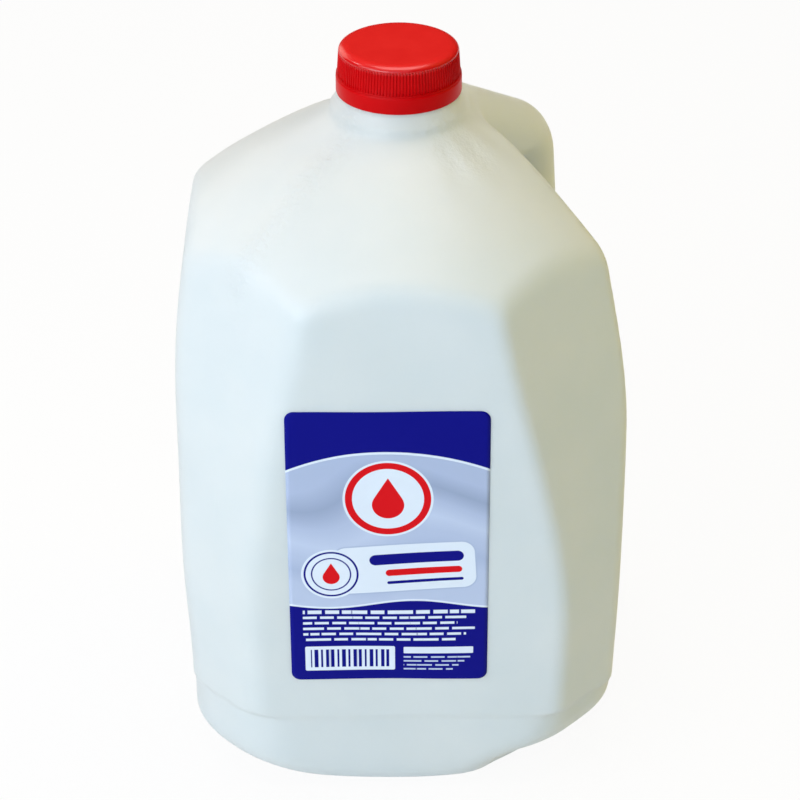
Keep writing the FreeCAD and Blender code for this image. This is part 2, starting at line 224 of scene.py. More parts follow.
def handle(x, y, z):
    """Rounded bar out from the neck, round the knee and down to the corner."""
    point = np.stack([(x + y) / math.sqrt(2.0), z], axis=-1)
    across = (x - y) / math.sqrt(2.0)
    inward = (HANDLE_ROOT - HANDLE_KNEE) / np.linalg.norm(HANDLE_ROOT - HANDLE_KNEE)
    downward = (HANDLE_FOOT - HANDLE_KNEE) / np.linalg.norm(HANDLE_FOOT - HANDLE_KNEE)
    half_angle = math.acos(float(inward @ downward)) / 2.0
    start = HANDLE_KNEE + inward * (HANDLE_BEND / math.tan(half_angle))
    end = HANDLE_KNEE + downward * (HANDLE_BEND / math.tan(half_angle))
    bisector = (inward + downward) / np.linalg.norm(inward + downward)
    centre = HANDLE_KNEE + bisector * (HANDLE_BEND / math.sin(half_angle))
    from_centre = point - centre
    reach = np.linalg.norm(from_centre, axis=-1)
    facing = (from_centre @ -bisector) / np.maximum(reach, 1e-6)
    bend = np.where(facing > math.sin(half_angle), np.abs(reach - HANDLE_BEND), 1e3)
    top_run = segment_distance(point, HANDLE_ROOT, start)
    long_run = segment_distance(point, end, HANDLE_FOOT)
    centre_line = np.minimum(np.minimum(top_run, long_run), bend)
    share = np.hypot(centre_line / HANDLE_HALF_DEPTH, across / HANDLE_HALF_WIDTH)
    return (share - 1.0) * HANDLE_HALF_DEPTH


def neck(x, y, z):
    """Collar under the cap, and the neck inside it."""
    top = CAP_LOW[2]
    outline = [
        (COLLAR_Z - 4.0, COLLAR_RADIUS - 0.4),
        (COLLAR_Z + 1.5, COLLAR_RADIUS),
        (top - 0.2, CAP_HIGH[0] - 0.5),
        (top + 0.4, NECK_RADIUS),
    ]
    heights, radii = zip(*outline)
    side = np.hypot(x, y) - np.interp(z, heights, radii)
    ends = np.maximum(COLLAR_Z - NECK_ROOT - z, z - JUG_HIGH[2])
    return np.maximum(side, ends)


def foot(x, y, z):
    """Round foot that spreads upwards, further out or dented at its corners."""
    reach = np.hypot((x + FOOT_SHIFT) / FOOT_SQUEEZE, y)
    turn = 2.0 * x * y / np.maximum(x * x + y * y, 1.0)
    depth = FOOT_PLAIN_DENT + FOOT_DENT_RISE * np.clip(z, 0.0, FOOT_DENT_TOP)
    dented = smooth_step((-turn - FOOT_DENT_START) / FOOT_DENT_SPAN)
    corner = FOOT_SEAM_GAIN * np.maximum(turn, 0.0) - depth * dented
    return (reach - FOOT_RADIUS - corner - FOOT_SPREAD * z) / math.hypot(1.0, FOOT_SPREAD)


def body_skin(x, y, z):
    """Jug's body without its handle and neck."""
    result = sides(x, y, z) + unevenness(x, y, z)
    result = soft_max(result, foot(x, y, z), FOOT_BLEND)
    result = soft_max(result, shoulder(x, y, z), SHOULDER_BLEND)
    result = soft_max(result, -z, BASE_BLEND)
    from_dome = np.sqrt(x * x + y * y + (z - PUSH_UP_DEPTH + PUSH_UP_DOME) ** 2)
    result = soft_max(result, PUSH_UP_DOME - from_dome, PUSH_UP_BLEND)
    result = soft_max(result, z - COLLAR_Z - BODY_TOP, BODY_TOP_BLEND)
    return soft_max(result, -recess(x, y, z), RECESS_BLEND)


def jug_skin(x, y, z):
    with_handle = soft_min(body_skin(x, y, z), handle(x, y, z), HANDLE_BLEND)
    return soft_min(with_handle, neck(x, y, z), NECK_BLEND)


def milk_surface(x, y, z):
    return soft_max(jug_skin(x, y, z) + MILK_INSET, z - MILK_LEVEL, MILK_BLEND)


# ---- making meshes -------------------------------------------------------------------------
def grid_values(shape_function, axes):
    """Shape function on a grid, one height at a time."""
    x, y = np.meshgrid(axes[0], axes[1], indexing="ij")
    layers = [shape_function(x, y, np.full_like(x, z)) for z in axes[2]]
    return np.stack(layers, axis=-1)


def crossing_vertices(values, axes):
    """One vertex for each grid cell that the surface passes through, and the cells' numbers."""
    inside = values < 0.0
    shape = tuple(size - 1 for size in values.shape)
    total = np.zeros(shape + (3,))
    count = np.zeros(shape)
    corners = [(i, j, k) for i in (0, 1) for j in (0, 1) for k in (0, 1)]
    for first in corners:
        for axis in range(3):
            if first[axis] == 1:
                continue
            second = list(first)
            second[axis] = 1
            cut_a = tuple(slice(first[n], first[n] + shape[n]) for n in range(3))
            cut_b = tuple(slice(second[n], second[n] + shape[n]) for n in range(3))
            changes = inside[cut_a] != inside[cut_b]
            spread = np.where(changes, values[cut_a] - values[cut_b], 1.0)
            share = np.where(changes, values[cut_a] / spread, 0.0)
            for n in range(3):
                place = first[n] + (share if n == axis else 0.0)
                total[..., n] += np.where(changes, place, 0.0)
            count += changes
    cells = np.argwhere(count > 0)
    numbers = np.full(shape, -1)
    numbers[tuple(cells.T)] = np.arange(len(cells))
    local = total[tuple(cells.T)] / count[tuple(cells.T)][:, None]
    steps = np.array([axis[1] - axis[0] for axis in axes])
    origin = np.array([axis[0] for axis in axes])
    return origin + (cells + local) * steps, numbers, inside


def crossing_faces(numbers, inside):
    """One four-sided face for each grid edge that the surface crosses."""
    faces = []
    for axis in range(3):
        across = [n for n in range(3) if n != axis]
        low = [slice(None)] * 3
        high = [slice(None)] * 3
        low[axis] = slice(0, -1)
        high[axis] = slice(1, None)
        changes = inside[tuple(low)] != inside[tuple(high)]
        outward = inside[tuple(low)]
        for n in across:
            trim = [slice(None)] * 3
            trim[n] = slice(1, -1)
            changes = changes[tuple(trim)]
            outward = outward[tuple(trim)]
        places = np.argwhere(changes)
        out = outward[tuple(places.T)]
        corner = places.copy()
        for n in across:
            corner[:, n] += 1
        ring = []
        for back_a, back_b in ((1, 1), (0, 1), (0, 0), (1, 0)):
            cell = corner.copy()
            cell[:, across[0]] -= back_a
            cell[:, across[1]] -= back_b
            ring.append(numbers[tuple(cell.T)])
        quads = np.stack(ring, axis=1)
        turn = out if axis != 1 else ~out
        quads[~turn] = quads[~turn][:, ::-1]
        faces.append(quads)
    return np.concatenate(faces)


def settle(points, shape_function, limit):
    """Move points onto the surface along its slope."""
    for _ in range(SETTLE_ROUNDS):
        value = shape_function(*points.T)
        slope = np.empty_like(points)
        for n in range(3):
            shift = np.zeros(3)
            shift[n] = SETTLE_STEP
            ahead = shape_function(*(points + shift).T)
            behind = shape_function(*(points - shift).T)
            slope[:, n] = (ahead - behind) / (2.0 * SETTLE_STEP)
        steepness = np.maximum((slope ** 2).sum(axis=1), LEAST_SLOPE)
        move = -(value / steepness)[:, None] * slope
        length = np.linalg.norm(move, axis=1)
        move *= np.minimum(1.0, limit / np.maximum(length, 1e-9))[:, None]
        points = points + move
    return points


def mesh_from(name, points, faces, smooth=True):
    """Object at the origin from points in millimetres."""
    mesh = bpy.data.meshes.new(name)
    mesh.from_pydata((np.asarray(points) * MM).tolist(), [], [list(map(int, face)) for face in faces])
    mesh.update()
    if smooth:
        mesh.shade_smooth()
    piece = bpy.data.objects.new(name, mesh)
    bpy.context.scene.collection.objects.link(piece)
    return piece


def skin_piece(name, shape_function, cell, low, high):
    """Closed smooth mesh of a shape function between two corners."""
    starts = low - CELLS_BEFORE * cell
    ends = high + CELLS_AFTER * cell
    axes = [np.arange(starts[n], ends[n], cell) for n in range(3)]
    points, numbers, inside = crossing_vertices(grid_values(shape_function, axes), axes)
    faces = crossing_faces(numbers, inside)
    points = settle(points, shape_function, cell)
    points = np.clip(points, low, high)
    return mesh_from(name, points, faces)


def turned(profile, segments):
    """Points and faces of a closed outline turned about Z; it starts and ends on the axis."""
    points = [(0.0, 0.0, profile[0][1])]
    for radius, z in profile[1:-1]:
        for step in range(segments):
            angle = 2.0 * math.pi * step / segments
            points.append((radius * math.cos(angle), radius * math.sin(angle), z))
    points.append((0.0, 0.0, profile[-1][1]))
    last = len(points) - 1
    faces = []
    rings = len(profile) - 2
    for step in range(segments):
        after = (step + 1) % segments
        faces.append((0, 1 + after, 1 + step))
        for ring in range(rings - 1):
            start = 1 + ring * segments
            below = start + segments
            faces.append((start + step, start + after, below + after, below + step))
        start = 1 + (rings - 1) * segments
        faces.append((start + step, start + after, last))
    return points, faces


# ---- shader helpers ------------------------------------------------------------------------
class Num:
    """A number in a material's nodes; sums and products of these add Math nodes."""

    def __init__(self, tree, socket):
        self.tree = tree
        self.socket = socket

    def math(self, operation, *others, clamp=False):
        node = self.tree.nodes.new("ShaderNodeMath")
        node.operation = operation
        node.use_clamp = clamp
        for slot, value in zip(node.inputs, (self,) + others):
            if isinstance(value, Num):
                self.tree.links.new(value.socket, slot)
            else:
                slot.default_value = value
        return Num(self.tree, node.outputs[0])

    def __add__(self, other):
        return self.math("ADD", other)

    def __sub__(self, other):
        return self.math("SUBTRACT", other)

    def __mul__(self, other):
        return self.math("MULTIPLY", other)

    def __neg__(self):
        return self.math("MULTIPLY", -1.0)

    def absolute(self):
        return self.math("ABSOLUTE")

    def larger(self, other):
        return self.math("MAXIMUM", other)

    def smaller(self, other):
        return self.math("MINIMUM", other)

    def sine(self):
        return self.math("SINE")

    def length_with(self, other):
        return (self * self + other * other).math("SQRT")

    def inside(self, softness=0.12):
        """1 where this distance is negative, 0 where it is positive."""
        return (self * (-1.0 / softness)).math("ADD", 0.5, clamp=True)


def new_material(name):
    material = bpy.data.materials.new(name)
    material.use_nodes = True
    tree = material.node_tree
    tree.nodes.clear()
    output = tree.nodes.new("ShaderNodeOutputMaterial")
    return material, tree, output


def object_axes(tree):
    """Object coordinates in millimetres as three numbers, and the vector itself."""
    coordinates = tree.nodes.new("ShaderNodeTexCoord")
    split = tree.nodes.new("ShaderNodeSeparateXYZ")
    tree.links.new(coordinates.outputs["Object"], split.inputs[0])
    axes = [Num(tree, socket) * (1.0 / MM) for socket in split.outputs]
    return axes, coordinates.outputs["Object"]


def noise(tree, vector, size, detail=3.0, roughness=0.5, stretch=(1.0, 1.0, 1.0)):
    """Noise whose lumps are about size millimetres."""
    mapping = tree.nodes.new("ShaderNodeMapping")
    mapping.inputs["Scale"].default_value = stretch
    tree.links.new(vector, mapping.inputs["Vector"])
    node = tree.nodes.new("ShaderNodeTexNoise")
    node.inputs["Scale"].default_value = 1.0 / (size * MM)
    node.inputs["Detail"].default_value = detail
    node.inputs["Roughness"].default_value = roughness
    tree.links.new(mapping.outputs[0], node.inputs["Vector"])
    return Num(tree, node.outputs["Fac"])


def mix_colour(tree, share, first, second):
    """first where share is 0, second where it is 1; either may be a socket or a colour."""
    node = tree.nodes.new("ShaderNodeMix")
    node.data_type = "RGBA"
    tree.links.new(share.socket, node.inputs["Factor"])
    for slot, value in ((node.inputs[6], first), (node.inputs[7], second)):
        if isinstance(value, bpy.types.NodeSocket):
            tree.links.new(value, slot)
        else:
            slot.default_value = (*value, 1.0)
    return node.outputs[2]


def bump(tree, height, strength, distance, before=None):
    node = tree.nodes.new("ShaderNodeBump")
    node.inputs["Strength"].default_value = strength
    node.inputs["Distance"].default_value = distance * MM
    tree.links.new(height.socket, node.inputs["Height"])
    if before is not None:
        tree.links.new(before, node.inputs["Normal"])
    return node.outputs["Normal"]


def glossy_body(tree, base, roughness, normal, ior=1.5, shine=0.5):
    shader = tree.nodes.new("ShaderNodeBsdfPrincipled")
    if isinstance(base, bpy.types.NodeSocket):
        tree.links.new(base, shader.inputs["Base Color"])
    else:
        shader.inputs["Base Color"].default_value = (*base, 1.0)
    if isinstance(roughness, Num):
        tree.links.new(roughness.socket, shader.inputs["Roughness"])
    else:
        shader.inputs["Roughness"].default_value = roughness
    shader.inputs["IOR"].default_value = ior
    if isinstance(shine, Num):
        tree.links.new(shine.socket, shader.inputs["Specular IOR Level"])
    else:
        shader.inputs["Specular IOR Level"].default_value = shine
    if normal is not None:
        tree.links.new(normal, shader.inputs["Normal"])
    return shader


# ---- materials -----------------------------------------------------------------------------
SEAM_HALF_WIDTH, SEAM_SOFTNESS = 0.5, 1.4
CRINKLE_SIZE = 2.6
CREST_CRINKLE_HALF, CREST_CRINKLE_Z = 5.0, 186.0    # crinkles along the crest, from this height up
NECK_CRINKLE_X, NECK_CRINKLE_Y, NECK_CRINKLE_RADIUS, NECK_CRINKLE_Z = 20.0, -20.0, 11.0, 205.0
NECK_CRINKLE_SHARE = 0.45
LIGHT_THROUGH = 0.42        # share of the light that the wall lets in


def crinkled(axes):
    """How crinkled each place is: along the front of the crest, and by the neck."""
    x, y, z = axes
    across = (x - y) * (1.0 / math.sqrt(2.0))
    near_crest = (across.absolute() - CREST_CRINKLE_HALF).inside(9.0)
    on_crest = near_crest * (-z + CREST_CRINKLE_Z).inside(10.0) * (x + y).inside(20.0)
    from_patch = (x - NECK_CRINKLE_X).length_with(y - NECK_CRINKLE_Y)
    by_neck = (from_patch - NECK_CRINKLE_RADIUS).inside(8.0) * (-z + NECK_CRINKLE_Z).inside(8.0)
    return on_crest + by_neck * NECK_CRINKLE_SHARE


def plastic_relief(tree, axes, place):
    """Grain, a faint peel, the parting line and the crinkles of the shoulder."""
    x, y, _ = axes
    across = (x - y) * (1.0 / math.sqrt(2.0))
    seam = (across.absolute() - SEAM_HALF_WIDTH).inside(SEAM_SOFTNESS)
    grain = noise(tree, place, 0.9, detail=2.0)
    peel = noise(tree, place, 4.5, detail=2.0)
    crinkle = noise(tree, place, CRINKLE_SIZE, detail=3.0, roughness=0.6)
    relief = bump(tree, grain, 0.10, 0.06)
    relief = bump(tree, peel, 0.16, 0.25, relief)
    relief = bump(tree, seam, 0.3, 0.12, relief)
    return bump(tree, crinkle * crinkled(axes), 1.0, 0.9, relief)


def milky_plastic():
    """Thin milky wall: part of the light is scattered back, part passes on inside."""
    material, tree, output = new_material("milky_jug_plastic")
    axes, place = object_axes(tree)
    mottle = noise(tree, place, 26.0, detail=2.0)
    streaks = noise(tree, place, 9.0, detail=2.0, stretch=(1.0, 1.0, 0.18))
    tint = mix_colour(tree, (mottle - 0.35) * 1.6, (0.83, 0.87, 0.88), (0.88, 0.90, 0.90))
    roughness = (streaks * 0.16 + 0.28).smaller(0.5)
    relief = plastic_relief(tree, axes, place)
    wall = glossy_body(tree, tint, roughness, relief, ior=1.49)
    through = tree.nodes.new("ShaderNodeBsdfTranslucent")
    tree.links.new(tint, through.inputs["Color"])
    tree.links.new(relief, through.inputs["Normal"])
    blend = tree.nodes.new("ShaderNodeMixShader")
    blend.inputs["Fac"].default_value = LIGHT_THROUGH
    tree.links.new(wall.outputs[0], blend.inputs[1])
    tree.links.new(through.outputs[0], blend.inputs[2])
    tree.links.new(blend.outputs[0], output.inputs["Surface"])
    return material


def milk_white():
    material, tree, output = new_material("whole_milk")
    _, place = object_axes(tree)
    cloud = noise(tree, place, 40.0, detail=1.0)
    tint = mix_colour(tree, cloud, (0.90, 0.91, 0.90), (0.93, 0.94, 0.92))
    shader = glossy_body(tree, tint, 0.45, None, ior=1.35)
    tree.links.new(shader.outputs[0], output.inputs["Surface"])
    return material


PAINTED_LIGHT_DEPTH, POLISHED_RIM = 0.9, 2.6      # how far below the cap's top each of them ends: the painted light on the top, and the polished rim


def cap_red():
    """Red moulded plastic, painted paler on its top where the light from above falls, and polished round
    the rim.
    """
    material, tree, output = new_material("red_cap_plastic")
    (_, _, z), place = object_axes(tree)
    mottle = noise(tree, place, 7.0, detail=3.0)
    side = mix_colour(tree, mottle, (0.52, 0.0008, 0.002), (0.60, 0.002, 0.004))
    # Painted light: the cap's top gets a paler red where the overhead lamps light it.
    painted_top_light = mix_colour(tree, mottle, (0.68, 0.012, 0.012), (0.76, 0.020, 0.018))
    tint = mix_colour(tree, (-z + (CAP_HIGH[2] - PAINTED_LIGHT_DEPTH)).inside(1.2), side, painted_top_light)
    grain = noise(tree, place, 0.5, detail=2.0)
    polished = (-z + (CAP_HIGH[2] - POLISHED_RIM)).inside(0.8)
    roughness = mottle * 0.10 + 0.30 - polished * 0.12
    relief = bump(tree, grain, 0.12, 0.05)
    shader = glossy_body(tree, tint, roughness, relief, ior=1.5, shine=polished * 0.45 + 0.06)
    tree.links.new(shader.outputs[0], output.inputs["Surface"])
    return material


NAVY = (0.002, 0.003, 0.21)
SHADE = (0.30, 0.36, 0.52)
PALE = (0.40, 0.47, 0.66)
LIGHT = (0.53, 0.60, 0.78)
WHITE = (0.74, 0.80, 0.90)
RED = (0.70, 0.005, 0.010)

# Layout of the print, in millimetres right (U) and up (V) from the label's middle.
SWEEPS = ((23.0, 9.0, SHADE), (8.0, 7.0, LIGHT), (-7.0, 8.0, PALE))    # height, softness, colour
SWEEP_HALF, SWEEP_RISE = 3.2, 7.0
TOP_BAND, TOP_BAND_ARCH = 15.0, 0.006
WIDE_TRIM, TRIM = 0.9, 0.8
ROUNDEL_V, ROUNDEL_RADIUS, RING_OUTSIDE, RING_INSIDE = 21.0, 15.2, 14.4, 12.0
ROUNDEL_DROP_V, ROUNDEL_DROP = 18.5, 5.4
PANEL_TURN = math.radians(3.5)
PANEL_U, PANEL_V, PANEL_HALF_WIDE, PANEL_HALF_HIGH, PANEL_CORNER = 5.5, -7.0, 24.0, 9.5, 4.5
PANEL_BARS = (              # middle U and V, half length, half height, colour
    (9.5, -3.0, 16.0, 2.1, NAVY),
    (12.0, -8.4, 13.0, 1.3, RED),
    (12.5, -12.4, 13.0, 0.6, NAVY),
)
STAMP_U, STAMP_V, STAMP_RADIUS = -19.5, -9.5, 10.2
STAMP_RINGS = ((9.0, 0.35), (6.6, 0.25))        # radius, half width
STAMP_DROP_FALL, STAMP_DROP = 1.2, 2.9
BLOCK_V, BLOCK_RISE = -22.5, 1.6
RULES_HALF, RULES_V, RULES_PITCH = 29.5, -25.6, 2.35
BARS_U, BARS_V = -13.5, -45.5
NOTE_U, NOTE_V, NOTE_PITCH = 16.5, -45.0, 1.75


class Print:
    """A picture built up field by field on the label's face."""

    def __init__(self, tree, u, v, ground):
        self.tree = tree
        self.u = u
        self.v = v
        self.picture = ground

    def paint(self, distance, over, softness=0.12):
        """Lay a colour where the distance is negative."""
        self.picture = mix_colour(self.tree, distance.inside(softness), self.picture, over)

    def rounded_box(self, middle_u, middle_v, half_u, half_v, corner, turn=0.0):
        shift_u = self.u - middle_u
        shift_v = self.v - middle_v
        turned_u = shift_u * math.cos(turn) + shift_v * math.sin(turn)
        turned_v = shift_v * math.cos(turn) - shift_u * math.sin(turn)
        over_u = (turned_u.absolute() - (half_u - corner)).larger(0.0)
        over_v = (turned_v.absolute() - (half_v - corner)).larger(0.0)
        return over_u.length_with(over_v) - corner

    def drop(self, middle_u, middle_v, size):
        """Round drop with a pointed top."""
        shift_u = self.u - middle_u
        shift_v = self.v - middle_v
        ball = shift_u.length_with(shift_v) - size
        cone = shift_u.absolute() * 0.86 + shift_v * 0.5 - size
        tip = cone.larger(-shift_v + 0.5 * size)
        return ball.smaller(tip)

    def broken(self, distance, phase):
        """Break a strip into short runs."""
        gaps = (self.u * 1.19 + phase).sine() + (self.u * 2.03 + 2.3 * phase).sine() * 0.7 + 0.95
        return distance.larger(gaps * -0.8)


def print_ground(tree, u, v, half_height):
    """Pale ground, darker upwards, with soft slanting sweeps; returns the print to go on with."""
    rise = (v * (0.5 / half_height) + 0.5).math("ADD", 0.0, clamp=True)
    face = Print(tree, u, v, mix_colour(tree, rise, LIGHT, PALE))
    sweep = (u * 0.085 + v * 0.05).sine() * SWEEP_RISE
    for level, softness, shade in SWEEPS:
        face.paint((v - level - sweep).absolute() - SWEEP_HALF, shade, softness)
    return face


def print_top(face, half_height):
    """Dark band with an arched edge, and the roundel with its drop."""
    top_edge = (face.u * face.u) * -TOP_BAND_ARCH - face.v + (half_height - TOP_BAND)
    face.paint(top_edge - WIDE_TRIM, WHITE)
    face.paint(top_edge, NAVY)
    roundel = face.u.length_with(face.v - ROUNDEL_V)
    face.paint(roundel - ROUNDEL_RADIUS, WHITE)
    face.paint(roundel - RING_OUTSIDE, RED)
    face.paint(roundel - RING_INSIDE, WHITE)
    face.paint(face.drop(0.0, ROUNDEL_DROP_V, ROUNDEL_DROP), RED)


def print_panel(face):
    """Tilted panel with three bars."""
    panel = face.rounded_box(PANEL_U, PANEL_V, PANEL_HALF_WIDE, PANEL_HALF_HIGH, PANEL_CORNER, PANEL_TURN)
    face.paint(panel - 0.45, PALE, 0.5)
    face.paint(panel, WHITE)
    for middle_u, middle_v, half_u, half_v, shade in PANEL_BARS:
        face.paint(face.rounded_box(middle_u, middle_v, half_u, half_v, half_v, PANEL_TURN), shade)


def print_stamp(face):
    """Round stamp with two thin rings and a drop."""
    stamp = (face.u - STAMP_U).length_with(face.v - STAMP_V)
    face.paint(stamp - STAMP_RADIUS, WHITE)
    for radius, half_width_of_ring in STAMP_RINGS:
        face.paint((stamp - radius).absolute() - half_width_of_ring, NAVY)
    face.paint(face.drop(STAMP_U, STAMP_V - STAMP_DROP_FALL, STAMP_DROP), RED)


def print_block(face):
    """Dark block with a wavy top edge, rows of broken rules, a box of bars and a note's rows."""
    edge = face.v - (face.u * 0.11 + 0.7).sine() * BLOCK_RISE - BLOCK_V
    face.paint(edge - TRIM, WHITE)
    face.paint(edge, NAVY)
    for row in range(6):
        reach = RULES_HALF - 1.5 * (row % 3)
        height = 0.75 if row == 0 else 0.5
        rule = face.rounded_box(reach - RULES_HALF, RULES_V - RULES_PITCH * row, reach, height, 0.2)
        face.paint(face.broken(rule, 1.7 * row), WHITE, 0.2)
    face.paint(face.rounded_box(BARS_U, BARS_V, 15.5, 5.2, 0.6), WHITE)
    even_bars = (face.u * (math.pi / 0.95)).sine() * 0.3
    bars = even_bars + (face.u * 1.31).sine() * 0.16 + (face.u * 4.7).sine() * 0.10
    face.paint(face.rounded_box(BARS_U, BARS_V, 13.6, 3.8, 0.1).larger(bars), NAVY)
    face.paint(face.rounded_box(NOTE_U + 0.5, NOTE_V + 3.0, 12.0, 1.4, 0.3), WHITE)
    for row in range(4):
        rule = face.rounded_box(NOTE_U - row, NOTE_V - NOTE_PITCH * row, 11.5 - row, 0.32, 0.1)
        face.paint(face.broken(rule, 2.1 * row + 0.8), LIGHT, 0.2)


def printed_label():
    """Print in plain fields and simple shapes, on paper with a slight sheen."""
    material, tree, output = new_material("printed_label")
    (x, _, z), place = object_axes(tree)
    centre = (LABEL_LOW + LABEL_HIGH) / 2.0
    half_height = (LABEL_HIGH[2] - LABEL_LOW[2]) / 2.0
    face = print_ground(tree, x - centre[0], z - centre[2], half_height)
    print_top(face, half_height)
    print_panel(face)
    print_stamp(face)
    print_block(face)

    ink = noise(tree, place, 1.4, detail=2.0)
    roughness = ink * 0.10 + 0.30
    relief = bump(tree, noise(tree, place, 14.0, detail=1.0), 0.18, 0.3)
    shader = glossy_body(tree, face.picture, roughness, relief, ior=1.48, shine=0.08)
    tree.links.new(shader.outputs[0], output.inputs["Surface"])
    return material


# ---- pieces --------------------------------------------------------------------------------
def put(piece, node, material):
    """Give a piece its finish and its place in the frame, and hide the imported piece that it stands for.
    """
    piece.data.materials.clear()
    piece.data.materials.append(material)
    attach(piece, "root")
    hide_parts(node)


def make_jug():
    piece = skin_piece("jug_skin", jug_skin, SKIN_CELL, JUG_LOW, JUG_HIGH)
    put(piece, "jug", milky_plastic())


def make_milk():
    low = JUG_LOW + MILK_INSET
    high = np.array([JUG_HIGH[0] - MILK_INSET, JUG_HIGH[1] - MILK_INSET, MILK_LEVEL])
    piece = skin_piece("milk_fill", milk_surface, MILK_CELL, low, high)
    put(piece, "milk", milk_white())


CAP_TAPER, CAP_EDGE_WIDTH, CAP_EDGE_DROP = 1.0, 3.6, 1.8
SCORE_HEIGHT, SCORE_DEPTH = 6.0, 0.3
RIB_COUNT, RIB_DEPTH, RIB_BAND = 120, 0.28, 8.3
RIB_FOOT_INSET = 0.45
RIB_SIDES, RIB_LENGTHS = 10, 3
RIB_SUNK = 0.02             # the ribs' middles lie this far inside the wall that they stand on
CAP_TOP_WALL = 1.6
CAP_BORE_GAP = 0.1          # room between the cap and the neck
CAP_SEGMENTS, RIM_STEPS = 360, 14


def cap_profile():
    """Outline of the cap from the middle of its top, round the rim, down and up inside."""
    bottom, top = CAP_LOW[2], CAP_HIGH[2]
    wide = CAP_HIGH[0]
    rim = wide - CAP_TAPER
    score = bottom + SCORE_HEIGHT
    ribs_top = top - CAP_EDGE_DROP + 0.5
    inner = NECK_RADIUS + CAP_BORE_GAP
    ceiling = top - CAP_TOP_WALL
    profile = [(0.0, top - 0.1), (rim * 0.4, top - 0.08), (rim * 0.7, top - 0.02)]
    for step in range(RIM_STEPS + 1):
        angle = math.radians(90.0 * step / RIM_STEPS)
        radius = rim - 0.05 - CAP_EDGE_WIDTH * (1.0 - math.sin(angle))
        profile.append((radius, top - CAP_EDGE_DROP * (1.0 - math.cos(angle))))
    rib_foot = wide - RIB_FOOT_INSET - RIB_DEPTH
    profile += [
        (rim - RIB_DEPTH + 0.1, ribs_top - 0.9),
        (rim - RIB_DEPTH, ribs_top - 1.2),
        (rib_foot, score + 0.8),
        (rib_foot + 0.1, score + 0.5),
        (wide - 0.12, score + 0.3),
        (wide - SCORE_DEPTH, score + 0.12),
        (wide - SCORE_DEPTH, score - 0.12),
        (wide - 0.05, score - 0.35),
        (wide - 0.02, score - 0.8),
        (wide, bottom + 0.6),
        (wide - 0.12, bottom + 0.15),
        (wide - 0.4, bottom),
        (inner + 0.3, bottom),
        (inner, bottom + 0.3),
        (inner, ceiling),
        (0.0, ceiling),
    ]
    return profile


def add_input(tree, name, kind, value=None):
    socket = tree.interface.new_socket(name=name, in_out="INPUT", socket_type=kind)
    if value is not None:
        socket.default_value = value


def rib_tree(material):
    """Nodes that set upright grip ribs round the cap and join them to it."""
    tree = bpy.data.node_groups.new("grip_ribs", "GeometryNodeTree")
    add_input(tree, "Cap", "NodeSocketGeometry")
    add_input(tree, "Count", "NodeSocketInt", RIB_COUNT)
    add_input(tree, "Ring Radius", "NodeSocketFloat", 0.02)
    add_input(tree, "Ring Height", "NodeSocketFloat", 0.0)
    add_input(tree, "Rib Radius", "NodeSocketFloat", 0.0004)
    add_input(tree, "Rib Length", "NodeSocketFloat", 0.007)
    add_input(tree, "Rib Lean", "NodeSocketFloat", 0.0)
    tree.interface.new_socket(name="Ribbed Cap", in_out="OUTPUT", socket_type="NodeSocketGeometry")
    nodes, links = tree.nodes, tree.links
    given = nodes.new("NodeGroupInput")
    result = nodes.new("NodeGroupOutput")

    ring = nodes.new("GeometryNodeMeshCircle")
    links.new(given.outputs["Count"], ring.inputs["Vertices"])
    links.new(given.outputs["Ring Radius"], ring.inputs["Radius"])
    lift = nodes.new("ShaderNodeCombineXYZ")
    links.new(given.outputs["Ring Height"], lift.inputs["Z"])
    raise_ring = nodes.new("GeometryNodeTransform")
    links.new(ring.outputs["Mesh"], raise_ring.inputs["Geometry"])
    links.new(lift.outputs[0], raise_ring.inputs["Translation"])

    rib = nodes.new("GeometryNodeMeshCylinder")
    rib.inputs["Vertices"].default_value = RIB_SIDES
    rib.inputs["Side Segments"].default_value = RIB_LENGTHS
    links.new(given.outputs["Rib Radius"], rib.inputs["Radius"])
    links.new(given.outputs["Rib Length"], rib.inputs["Depth"])
    soft_rib = nodes.new("GeometryNodeSetShadeSmooth")
    links.new(rib.outputs["Mesh"], soft_rib.inputs["Geometry"])

    number = nodes.new("GeometryNodeInputIndex")
    share = nodes.new("ShaderNodeMath")
    share.operation = "DIVIDE"
    links.new(number.outputs[0], share.inputs[0])
    links.new(given.outputs["Count"], share.inputs[1])
    turn = nodes.new("ShaderNodeMath")
    turn.operation = "MULTIPLY"
    turn.inputs[1].default_value = 2.0 * math.pi
    links.new(share.outputs[0], turn.inputs[0])
    facing = nodes.new("ShaderNodeCombineXYZ")
    links.new(given.outputs["Rib Lean"], facing.inputs["Y"])
    links.new(turn.outputs[0], facing.inputs["Z"])

    place = nodes.new("GeometryNodeInstanceOnPoints")
    links.new(raise_ring.outputs[0], place.inputs["Points"])
    links.new(soft_rib.outputs[0], place.inputs["Instance"])
    links.new(facing.outputs[0], place.inputs["Rotation"])
    together = nodes.new("GeometryNodeJoinGeometry")
    links.new(place.outputs[0], together.inputs[0])
    links.new(given.outputs["Cap"], together.inputs[0])
    real = nodes.new("GeometryNodeRealizeInstances")
    links.new(together.outputs[0], real.inputs[0])
    finish = nodes.new("GeometryNodeSetMaterial")
    finish.inputs["Material"].default_value = material
    links.new(real.outputs[0], finish.inputs["Geometry"])
    links.new(finish.outputs[0], result.inputs[0])
    return tree


def run_tree(piece, tree, values):
    """Apply a geometry tree to a piece as a plain mesh."""
    modifier = piece.modifiers.new("grip", "NODES")
    modifier.node_group = tree
    for item in tree.interface.items_tree:
        if item.item_type == "SOCKET" and item.in_out == "INPUT" and item.name in values:
            modifier[item.identifier] = values[item.name]
    bpy.context.view_layer.update()
    evaluated = piece.evaluated_get(bpy.context.evaluated_depsgraph_get())
    mesh = bpy.data.meshes.new_from_object(evaluated)
    piece.modifiers.remove(modifier)
    piece.data = mesh


